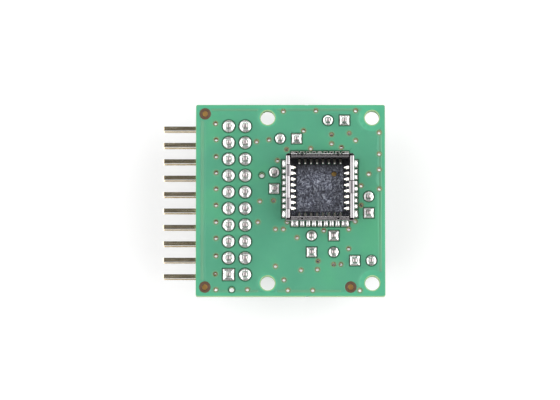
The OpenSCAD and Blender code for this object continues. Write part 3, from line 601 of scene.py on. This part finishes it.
def build_mask(name, mat, openings, routes, z_base, up, bare_and_glow_holes):
    """A thin closed sheet on one face of the board, open at every pad and hole, that follows the copper below it."""
    inset = 0.05
    x0, x1, y0, y1 = BX0 + inset, BX1 - inset, BY0 + inset, BY1 - inset
    pts, edges = [], []

    def add_loop(loop, closed=True):
        loop = [(min(max(x, x0), x1), min(max(y, y0), y1)) for x, y in loop]
        i0 = len(pts)
        pts.extend(loop)
        n = len(loop)
        for k in range(n if closed else n - 1):
            if loop[k] != loop[(k + 1) % n]:
                edges.append((i0 + k, i0 + (k + 1) % n))

    outline = rect((x0 + x1) / 2, (y0 + y1) / 2, x1 - x0, y1 - y0, 0, 0.28, 5)
    add_loop(outline)
    brk = [circle((c[0], c[1] + (0.22 if c[1] > 0 else -0.22)), 0.42) for c in BREAKS]
    for o in openings:
        add_loop(o.loop(0.0))
        add_loop(o.loop(0.07))
        if o.kind == "c" and o.r < 0.4:
            add_loop(o.loop(0.20, 16))
            add_loop(o.loop(0.30, 16))
        elif not (o.kind == "c" and o.r > 1.1):
            add_loop(o.loop(0.13))
            add_loop(o.loop(0.25))
    iso = [Shape(o.kind, o.cx, o.cy, math.degrees(o.a), o.r + 0.20, o.w + 0.40, o.h + 0.40) for o in openings
           if not (o.kind == "c" and (o.r > 1.1 or o.r < 0.45)) and not (o.kind == "c" and 0.89 < o.r < 0.91)]
    for o in iso:
        add_loop(o.loop(-0.03))
        add_loop(o.loop(0.03))
    for o in bare_and_glow_holes:
        add_loop(o.loop(-0.04, 40))
        add_loop(o.loop(0.04, 40))
    segs = []
    for rt in routes:
        w, path = rt[0], [at(*p) for p in rt[1:]]
        for p, q in zip(path, path[1:]):
            segs.append((p, q, w))
            dx, dy = q[0] - p[0], q[1] - p[1]
            L = math.hypot(dx, dy)
            ang = math.atan2(dy, dx)
            for g in (w / 2 - 0.03, w / 2 + 0.03, w / 2 + 0.19, w / 2 + 0.25):
                cap = []
                for k in range(7):
                    t = ang - math.pi / 2 + math.pi * k / 6
                    cap.append((q[0] + g * math.cos(t), q[1] + g * math.sin(t)))
                for k in range(7):
                    t = ang + math.pi / 2 + math.pi * k / 6
                    cap.append((p[0] + g * math.cos(t), p[1] + g * math.sin(t)))
                add_loop(cap)
    for g in (0.02, 0.52, 0.58):
        add_loop(rect((x0 + x1) / 2, (y0 + y1) / 2, x1 - x0 - 2 * g, y1 - y0 - 2 * g, 0, max(0.1, 0.28 - g), 4))
    step = 0.8
    nx, ny = int((x1 - x0) / step), int((y1 - y0) / step)
    for i in range(1, nx):
        for j in range(1, ny):
            pts.append((x0 + (x1 - x0) * (i + 0.5 * (j % 2) * 0.9) / nx, y0 + (y1 - y0) * j / ny))
    vs, es, fs, _, _, _ = delaunay_2d_cdt([Vector(p) for p in pts], edges, [], 0, 1e-4, False)
    P = np.array([(v[0], v[1]) for v in vs])
    F = np.array([f for f in fs if len(f) == 3])
    C = P[F].mean(1)
    keep = (C[:, 0] > x0 - 1e-6) & (C[:, 0] < x1 + 1e-6) & (C[:, 1] > y0 - 1e-6) & (C[:, 1] < y1 + 1e-6)
    corner = Shape("r", (x0 + x1) / 2, (y0 + y1) / 2, w=x1 - x0 - 0.56, h=y1 - y0 - 0.56)
    keep &= corner.dist(C[:, 0], C[:, 1]) < 0.279
    for o in openings + brk:
        keep &= o.dist(C[:, 0], C[:, 1]) > (-0.0015 if o.kind == "r" else -0.012 * o.r)
    area = np.abs(np.cross(P[F[:, 1]] - P[F[:, 0]], P[F[:, 2]] - P[F[:, 0]]))
    keep &= area > 1e-8
    F = F[keep]
    used = np.unique(F)
    remap = -np.ones(len(P), int)
    remap[used] = np.arange(len(used))
    P, F = P[used], remap[F]
    n = len(P)
    x, y = P[:, 0], P[:, 1]
    edge = np.minimum.reduce([x - x0, x1 - x, y - y0, y1 - y])
    d = edge - 0.55                                  # pour: positive inside the copper
    for o in iso:
        d = np.minimum(d, o.dist(x, y))
    bare = np.zeros(n)
    for o in bare_and_glow_holes:
        q = o.dist(x, y)
        d = np.minimum(d, q)
    dr = np.full(n, 9.0)
    for p, q, w in segs:
        px, py = x - p[0], y - p[1]
        dx, dy = q[0] - p[0], q[1] - p[1]
        t = np.clip((px * dx + py * dy) / (dx * dx + dy * dy + 1e-12), 0, 1)
        dr = np.minimum(dr, np.hypot(px - t * dx, py - t * dy) - w / 2)
    d = np.minimum(d, dr - 0.22)
    d = np.maximum(d, -dr)
    for o in openings:                               # each pad's own copper reaches to its opening
        d = np.maximum(d, 0.02 - o.dist(x, y)) if not (o.kind == "c" and o.r > 1.1) else d
    sm = lambda t: np.clip(t, 0, 1) ** 2 * (3 - 2 * np.clip(t, 0, 1))
    cov = sm((d + 0.03) / 0.06)
    near = np.full(n, 9.0)
    for o in openings:
        near = np.minimum(near, o.dist(x, y))
    lip = sm(np.minimum(near, edge) / 0.06)
    h = 0.010 + 0.012 * lip + CU * cov * (0.35 + 0.65 * lip)
    # The bare border and the rings round the mounting holes take the lighter tone: partly real bare laminate, partly
    # painted glow of light through the board
    bare_and_glow = 1 - sm((edge - 0.50) / 0.10)
    for o in bare_and_glow_holes:
        bare_and_glow = np.maximum(bare_and_glow, 1 - sm((o.dist(x, y) + 0.05) / 0.10))
    shade_ring = np.zeros(n)
    halo = np.zeros(n)
    for o in openings:
        if o.kind == "c" and (o.r > 1.1 or 0.89 < o.r < 0.91):
            continue
        q = o.dist(x, y)
        if o.kind == "c" and o.r < 0.4:              # a via: a thin painted shade rim, then its land under the mask
            shade_ring = np.maximum(shade_ring, (1 - sm((q - 0.005) / 0.07)) * 0.75)
            halo = np.maximum(halo, (1 - sm((q - 0.20) / 0.10)) * sm(q / 0.06))
        else:
            # Painted shade: a dark green ring round every pad and land, standing in for the shade at their edges
            shade_ring = np.maximum(shade_ring, (1 - sm((q - 0.04) / 0.20)))
    trace = np.maximum(sm(1 - np.abs(dr) / 0.10) * (dr < 0.12), halo * 0.9)
    top = np.stack([x, y, z_base + up * h], 1)
    bot = np.stack([x, y, np.full(n, z_base + up * 0.001)], 1)
    # Boundary edges get a wall down to the board
    e = np.concatenate([F[:, [0, 1]], F[:, [1, 2]], F[:, [2, 0]]])
    key = {}
    for a, b in e:
        key[(a, b)] = key.get((a, b), 0) + 1
    walls = [(a, b) for (a, b) in key if (b, a) not in key]
    faces = []
    if up > 0:
        faces += [tuple(f) for f in F]
        faces += [tuple(int(v) + n for v in f[::-1]) for f in F]
        faces += [(int(b), int(a), int(a) + n, int(b) + n) for a, b in walls]
    else:
        faces += [tuple(int(v) for v in f[::-1]) for f in F]
        faces += [tuple(int(v) + n for v in f) for f in F]
        faces += [(int(a), int(b), int(b) + n, int(a) + n) for a, b in walls]
    faces = [tuple(int(v) for v in f) for f in faces]
    # tint channels: lighter bare-laminate tone with painted glow, painted shade ring, copper under the mask
    col = np.stack([bare_and_glow, shade_ring, trace, np.ones(n)], 1)
    col = np.concatenate([col, col])
    V = np.concatenate([top, bot])
    o = make_object(name, V.tolist(), faces, mat, colors=col)
    me = o.data
    me.polygons.foreach_set("use_smooth", [True] * len(me.polygons))
    # walls stay crisp
    me.set_sharp_from_angle(angle=math.radians(50))
    return o


# The right-hand mounting holes get wider copper-free, lighter rings on top: painted glow of light shining through the
# board there
BARE_AND_GLOW_TOP = [circle(MOUNTS[1], 2.05), circle(MOUNTS[3], 2.05), circle(MOUNTS[0], 1.45), circle(MOUNTS[2], 1.45)]
BARE_BOT = [circle(m, 1.9) for m in MOUNTS]
mask_top = build_mask("solder_mask_top", M["mask_top"], TOP_OPEN, TOP_ROUTES, BT, 1, BARE_AND_GLOW_TOP)
mask_bot = build_mask("solder_mask_bottom", M["mask_bottom"], BOT_OPEN, BOT_ROUTES, 0.0, -1, BARE_BOT)

# ------------------------------------------------------------------ solder joints
rng = np.random.RandomState(7)


def joint(cx, cy, z0, R, tip=None, H=0.6, up=1, square=0.0, n=56, m=10, rough=1.0, pin=0.32):
    """Solder wetted round a square pin: a lobed, concave fillet that climbs the pin and, where tip is set,
    closes over its chamfered end."""
    ph = rng.uniform(0, 2 * math.pi, 6)
    am = rng.uniform(0.3, 1.0, 6) * np.array([0.9, 1.0, 1.0, 0.9, 0.8, 0.7]) * rough
    p = rng.uniform(1.7, 2.3)
    hh = H * rng.uniform(0.85, 1.12)
    lean, la = rng.uniform(0.0, 0.14) * rough, rng.uniform(0, 2 * math.pi)
    V, F, C = [], [], []
    for k in range(n):
        a = 2 * math.pi * k / n
        ca, sa = math.cos(a), math.sin(a)
        wob = sum(am[j] * math.sin((j + 2) * a + ph[j]) for j in range(6))
        top = max(abs(ca), abs(sa))
        ro = R * (1 + 0.031 * wob)
        if square > 0:
            mid = max(0.0, 1 - (1 / top - 1) / 0.40)          # 1 at the middle of a side
            ro = min(square / top, square * 1.34) * (1 - 0.115 * mid ** 1.3) * (1 + 0.006 * wob)
        ri = min(pin / top, pin * 1.24)
        hk = hh * (1 + lean * math.cos(a - la) + 0.035 * wob)
        prof = [(ro, 0.0)]
        for i in range(m + 1):
            t = i / m
            r = ro + (ri + 0.03 - ro) * (1 - (1 - t) ** 1.3)
            z = 0.015 + (hk - 0.015) * t ** p + 0.045 * math.sin(math.pi * min(1, t * 1.5)) * (1 - t) * (1 + 0.25 * wob)
            prof.append((r, z))
        if tip:
            g = min(1 / top, 1.20)
            z1 = max(hk + 0.02, tip - 0.21)
            prof += [((pin + 0.018) * g, z1 + 0.3 * (tip - 0.19 - z1) * (z1 < tip - 0.2)), ((pin + 0.004) * g, max(z1 + 0.015, tip - 0.17)),
                     (0.26 * g, tip - 0.075), (0.20 * g, tip - 0.022), (0.13 * g, tip)]
        else:
            prof += [(ri - 0.03, hk - 0.01), (ri - 0.03, 0.0)]
        V += [(cx + r * ca, cy + r * sa, z0 + up * z) for r, z in prof]
        # tint: 1 over the pin's tip, fading by the joint's ring, where the material paints a dark reflection; 0.6
        # everywhere on joints with no tip
        if tip:
            edge_r = pin * 1.5 * (1 + 0.10 * wob)
            C += [max(0.0, min(1.0, (edge_r - r) / 0.10 + 0.5)) for r, z in prof]
        else:
            C += [0.6] * len(prof)
    q = len(V) // n
    for k in range(n):
        j = (k + 1) % n
        for i in range(q - 1 if tip else q):
            a, b, c, d = k * q + i, k * q + (i + 1) % q, j * q + (i + 1) % q, j * q + i
            F.append((a, d, c, b) if up > 0 else (a, b, c, d))
    if tip:
        V.append((cx, cy, z0 + up * (tip + 0.003)))
        V.append((cx, cy, z0))
        C += [1.0, 0.0]
        for k in range(n):
            j = (k + 1) % n
            f1, f2 = (k * q + q - 1, j * q + q - 1, len(V) - 2), (j * q, k * q, len(V) - 1)
            F += [f1, f2] if up > 0 else [f1[::-1], f2[::-1]]
    return V, F, C


def gather(items):
    V, F, C = [], [], []
    for it in items:
        n = len(V)
        V += it[0]
        F += [tuple(i + n for i in g) for g in it[1]]
        C += it[2] if len(it) > 2 else [0.0] * len(it[0])
    return V, F, [(c, c, c, 1) for c in C]


zt = BT + CU
tip_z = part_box("header_pins_upper")[1].z / MM
jtip_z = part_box("jumper_pins")[1].z / MM
items = []
for (c, sq) in HEADER:
    items.append(joint(c[0], c[1], zt, 0.855, tip_z - zt + 0.012, 0.56, 1, square=0.85 if sq else 0))
    items.append(joint(c[0], c[1], -CU, 0.88, None, 0.05, -1, square=0.86 if sq else 0, rough=0.3))
V, F, C = gather(items)
hs = make_object("header_joints", V, F, M["solder"], colors=C)
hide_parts("header_solder")
items = []
for (c, sq) in JPADS:
    items.append(joint(c[0], c[1], zt, 0.725, jtip_z - zt + 0.012, 0.46, 1, square=0.735 if sq else 0))
    items.append(joint(c[0], c[1], -CU, 0.72, None, 0.05, -1, square=0.73 if sq else 0, rough=0.3))
V, F, C = gather(items)
js = make_object("jumper_joints", V, F, M["solder"], colors=C)
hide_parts("jumper_solder")


# ------------------------------------------------------------------ solder mounds on the socket's lands
def mound(cx, cy, ang, lx, ly, H, n=36, rings=7):
    """A domed mound on a rounded rectangle, lx along the radial direction, higher towards the socket."""
    ph = rng.uniform(0, 2 * math.pi, 4)
    am = rng.uniform(0.2, 1.0, 4)
    hh = H * rng.uniform(0.9, 1.1)
    c, s_ = math.cos(math.radians(ang)), math.sin(math.radians(ang))
    V, F = [], []

    def put(u, v, z):
        V.append((cx + u * c - v * s_, cy + u * s_ + v * c, z))

    for r in range(rings + 1):
        t = 1 - r / (rings + 0.6)
        for k in range(n):
            a = 2 * math.pi * k / n
            ca, sa = math.cos(a), math.sin(a)
            w = 1 + 0.022 * sum(am[j] * math.sin((j + 2) * a + ph[j]) for j in range(4)) * t
            g = (abs(ca) ** 3.4 + abs(sa) ** 3.4) ** (-1 / 3.4) * w
            u, v = lx / 2 * g * ca * t, ly / 2 * g * sa * t
            z = hh * (1 - t ** 2.6) ** 0.62 * (1 - 0.34 * (u / (lx / 2)))
            put(u, v, BT + CU * 0.4 + (z + CU * 0.6 if r else 0))
    top = len(V)
    put(0, 0, BT + CU + hh)
    for r in range(rings):
        for k in range(n):
            j = (k + 1) % n
            F.append((r * n + k, r * n + j, (r + 1) * n + j, (r + 1) * n + k))
    for k in range(n):
        F.append((rings * n + k, rings * n + (k + 1) % n, top))
    F.append(tuple(range(n - 1, -1, -1)))
    return V, F


items = []
for x, y, w, h, a in LANDS:
    c, s_ = math.cos(math.radians(a)), math.sin(math.radians(a))
    back = 0.17 if a == 90 else 0.0
    hgt = (0.24 if h < 1 else 0.27) * (0.6 if a == 90 else 1.0)
    items.append(mound(x - back * c, y - back * s_, a, w - 0.03 - 2 * back, h - 0.05, hgt))
V, F, C = gather(items)
ms = make_object("socket_joints", V, F, M["solder"], colors=C)
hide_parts("socket_solder")


# ------------------------------------------------------------------ small flat pieces
def washer(name, rings_, mat, n=48):
    """Thin closed discs or rings: (x, y, r_in, r_out, z0, z1)."""
    V, F = [], []
    for x, y, ri, ro, z0, z1 in rings_:
        e = min(0.012, (z1 - z0) * 0.45)
        if ri > 0:
            prof = [(ri, z0), (ro, z0), (ro, z1 - e), (ro - e, z1), (ri + e, z1), (ri, z1 - e)]
        else:
            prof = [(ro, z0), (ro, z1 - e), (ro - e, z1), (ro * 0.5, z1 + e * 0.1)]
        b, q = len(V), len(prof)
        for k in range(n):
            t = 2 * math.pi * k / n
            V += [(x + r * math.cos(t), y + r * math.sin(t), z) for r, z in prof]
        for k in range(n):
            j = (k + 1) % n
            for i in range(q if ri > 0 else q - 1):
                F.append((b + k * q + i, b + j * q + i, b + j * q + (i + 1) % q, b + k * q + (i + 1) % q))
        if ri <= 0:
            F.append(tuple(b + k * q + q - 1 for k in range(n)))
            F.append(tuple(b + k * q for k in range(n - 1, -1, -1)))
    return make_object(name, V, F, mat)


washer("fiducial_windows", [(x, y, 0.415, 0.93, BT - 0.004, BT + 0.008) for x, y in FIDUCIALS], M["resin"])
f_lo, f_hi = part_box("socket_floor")
SIGHT = (SX + 2.16, SY + 2.24)
washer("sight_pad", [(SIGHT[0], SIGHT[1], 0, 0.56, BT + 0.001, BT + 0.075)], M["gilt"])
washer("key_pad", [(SX + 2.93, SY + 2.25, 0, 0.30, BT + 0.001, BT + 0.095)], M["gilt_pale"], n=24)


# ------------------------------------------------------------------ the moulded grain of the socket's floor
def build_floor():
    """A thin closed skin on the raised floor, rippled like glass-filled plastic that flowed in its mould."""
    z0 = BT + 0.7
    half = 3.60
    x0, x1, y0, y1 = SX - half, SX + half, SY - half, SY + half
    pts, edges = [], []

    def add_loop(loop):
        i0 = len(pts)
        pts.extend(loop)
        edges.extend((i0 + k, i0 + (k + 1) % len(loop)) for k in range(len(loop)))

    add_loop(rect(SX, SY, 2 * half, 2 * half))
    add_loop(rect(SX, SY, 2 * half - 0.1, 2 * half - 0.1))
    hole = circle(SIGHT, 0.45)
    slot_ = box2(SX + 2.93, SY + 2.25, 0.20, 0.56)
    for o in (hole, slot_):
        add_loop(o.loop(0.0, 36))
        add_loop(o.loop(0.05, 36))
    step = 0.075
    m = int(2 * half / step)
    for i in range(1, m):
        for j in range(1, m):
            pts.append((x0 + 2 * half * (i + 0.5 * (j % 2)) / m, y0 + 2 * half * j / m))
    vs, es, fs, _, _, _ = delaunay_2d_cdt([Vector(p) for p in pts], edges, [], 0, 1e-4, False)
    P = np.array([(v[0], v[1]) for v in vs])
    F = np.array([f for f in fs if len(f) == 3])
    C = P[F].mean(1)
    keep = (np.abs(C[:, 0] - SX) < half) & (np.abs(C[:, 1] - SY) < half)
    keep &= hole.dist(C[:, 0], C[:, 1]) > -0.004
    keep &= slot_.dist(C[:, 0], C[:, 1]) > -0.0015
    F = F[keep]
    used = np.unique(F)
    remap = -np.ones(len(P), int)
    remap[used] = np.arange(len(used))
    P, F = P[used], remap[F]
    n = len(P)
    x, y = P[:, 0], P[:, 1]
    sm = lambda t: np.clip(t, 0, 1) ** 2 * (3 - 2 * np.clip(t, 0, 1))
    edge = np.minimum.reduce([x - x0, x1 - x, y - y0, y1 - y, hole.dist(x, y), slot_.dist(x, y)])
    g = np.empty(n)
    for i in range(n):
        px, py = x[i], y[i]
        wx = mnoise.noise(Vector((px * 0.45, py * 0.45, 3.1))) * 1.2
        wy = mnoise.noise(Vector((px * 0.45, py * 0.45, 9.7))) * 1.2
        a = mnoise.noise(Vector(((px + wx) * 5.6, (py + wy) * 2.4, 0.0)))
        b = mnoise.noise(Vector(((px - wy) * 2.6, (py + wx) * 5.8, 5.0)))
        g[i] = max(a, b)
    h = 0.012 + (0.030 * np.clip(g + 0.25, 0, 1)) * sm(edge / 0.12)
    top = np.stack([x, y, z0 + h], 1)
    bot = np.stack([x, y, np.full(n, z0 - 0.01)], 1)
    e = np.concatenate([F[:, [0, 1]], F[:, [1, 2]], F[:, [2, 0]]])
    key = set(map(tuple, e.tolist()))
    walls = [(a, b) for (a, b) in key if (b, a) not in key]
    walls.sort()
    faces = [tuple(f) for f in F.tolist()] + [tuple(v + n for v in f[::-1]) for f in F.tolist()]
    faces += [(b, a, a + n, b + n) for a, b in walls]
    val = np.clip((g + 0.25) * 1.35, 0, 1)
    col = np.stack([val, val, val, np.ones(n)], 1)
    o = make_object("socket_floor_grain", np.concatenate([top, bot]).tolist(), faces, M["grain"],
                    colors=np.concatenate([col, col]))
    o.data.set_sharp_from_angle(angle=math.radians(60))
    return o


build_floor()

# ------------------------------------------------------------------ floor, light, camera
floor_z = lo0.z
bpy.ops.mesh.primitive_plane_add(size=3.0, location=(0, 0, floor_z - 0.00002))
floor = bpy.context.active_object
floor.name = "studio_floor"
fm = Mat("studio_paper", (0.56, 0.56, 0.56), 0.7, spec=0.15)
fm.base(fm.mix(fm.range(fm.noise(0.004, 3, 0.5), 0.3, 0.7, 0, 1), (0.58, 0.58, 0.58), (0.595, 0.595, 0.595)))
fm.bump(fm.noise(1.5, 3, 0.6), 0.05, 0.01)
fm.b.inputs["Emission Color"].default_value = (1, 1, 1, 1)
fm.b.inputs["Emission Strength"].default_value = 0.46
geo = fm.node("ShaderNodeNewGeometry")           # clear when seen from underneath
clear = fm.node("ShaderNodeBsdfTransparent")
pick = fm.node("ShaderNodeMixShader")
fm.link(geo.outputs["Backfacing"], pick.inputs[0])
fm.link(fm.b.outputs[0], pick.inputs[1])
fm.link(clear.outputs[0], pick.inputs[2])
fm.link(pick.outputs[0], fm.nt.nodes["Material Output"].inputs[0])
floor.data.materials.append(fm.m)

world = bpy.data.worlds.new("studio") if scene.world is None else scene.world
scene.world = world
world.use_nodes = True
wt = world.node_tree
wt.nodes.clear()


def W(kind, **props):
    n = wt.nodes.new(kind)
    for k, v in props.items():
        setattr(n, k, v)
    return n


def wmath(op, a, b=None, clamp=False):
    n = W("ShaderNodeMath", operation=op, use_clamp=clamp)
    for i, v in enumerate((a, b)):
        if v is None:
            continue
        if isinstance(v, bpy.types.NodeSocket):
            wt.links.new(v, n.inputs[i])
        else:
            n.inputs[i].default_value = v
    return n.outputs[0]


def wstep(v, a, b):
    n = W("ShaderNodeMapRange", interpolation_type="SMOOTHSTEP")
    n.inputs["From Min"].default_value = a
    n.inputs["From Max"].default_value = b
    wt.links.new(v, n.inputs["Value"])
    return n.outputs["Result"]


wtc = W("ShaderNodeTexCoord")
wsep = W("ShaderNodeSeparateXYZ")
wt.links.new(wtc.outputs["Generated"], wsep.inputs[0])
dx, dy, dz = wsep.outputs
hor = wmath("SQRT", wmath("ADD", wmath("MULTIPLY", dx, dx), wmath("ADD", wmath("MULTIPLY", dy, dy), 1e-6)))
ax = wmath("ABSOLUTE", wmath("DIVIDE", dx, hor))
ny_ = wmath("DIVIDE", dy, hor)
side = wstep(ax, 0.45, 0.85)
north = wstep(ny_, 0.1, 0.5)
south = wstep(wmath("MULTIPLY", ny_, -1.0), 0.1, 0.5)


def wfall(v, a, b):
    """1 below a, 0 above b."""
    return wmath("SUBTRACT", 1.0, wstep(v, a, b))


off = wfall(dz, 0.915, 0.965)                 # away from the zenith
mid = wfall(dz, 0.62, 0.86)
low = wfall(dz, 0.42, 0.54)                   # the low sky
east = wmath("ADD", 1.0, wmath("MULTIPLY", wmath("DIVIDE", dx, hor), 0.14))
rest = wmath("SUBTRACT", 1.0, side)
L = wmath("ADD", 0.10, wmath("MULTIPLY", wmath("MULTIPLY", side, east),
                             wmath("ADD", wmath("ADD", wmath("MULTIPLY", off, 1.50), wmath("MULTIPLY", mid, 0.75)), wmath("MULTIPLY", low, 0.7))))
L = wmath("ADD", L, wmath("MULTIPLY", rest, wmath("MULTIPLY", north, wmath("MULTIPLY", wfall(dz, 0.16, 0.28), 3.5))))
soft = wmath("MULTIPLY", off, wstep(dz, 0.83, 0.89))          # a dim band high in the south
L = wmath("ADD", L, wmath("MULTIPLY", rest, wmath("MULTIPLY", south, wmath("MULTIPLY", soft, 0.55))))
L = wmath("ADD", L, wmath("MULTIPLY", rest, wmath("MULTIPLY", south, wmath("MULTIPLY", wfall(dz, 0.30, 0.42), 0.70))))
bg = W("ShaderNodeBackground")
bg.inputs["Color"].default_value = (1, 1, 1, 1)
wt.links.new(L, bg.inputs["Strength"])
wo = W("ShaderNodeOutputWorld")
wt.links.new(bg.outputs[0], wo.inputs[0])

cam_d = bpy.data.cameras.new("camera")
cam = bpy.data.objects.new("camera", cam_d)
scene.collection.objects.link(cam)
scene.camera = cam
TILT, DIST = math.radians(6.6), 0.650
aim = Vector((-6.11 * MM, 0.04 * MM, BT * MM))
cam.location = aim + Vector((0, -math.sin(TILT) * DIST, math.cos(TILT) * DIST))
cam_d.sensor_width = 36
cam_d.lens = 6.53 * 650 / 560 * 36
cam.rotation_euler = (TILT, 0, 0)
cam_d.clip_start, cam_d.clip_end = 0.01, 10

scene.view_settings.view_transform = "Standard"
scene.view_settings.look = "None"
scene.view_settings.exposure = 0
scene.view_settings.gamma = 1
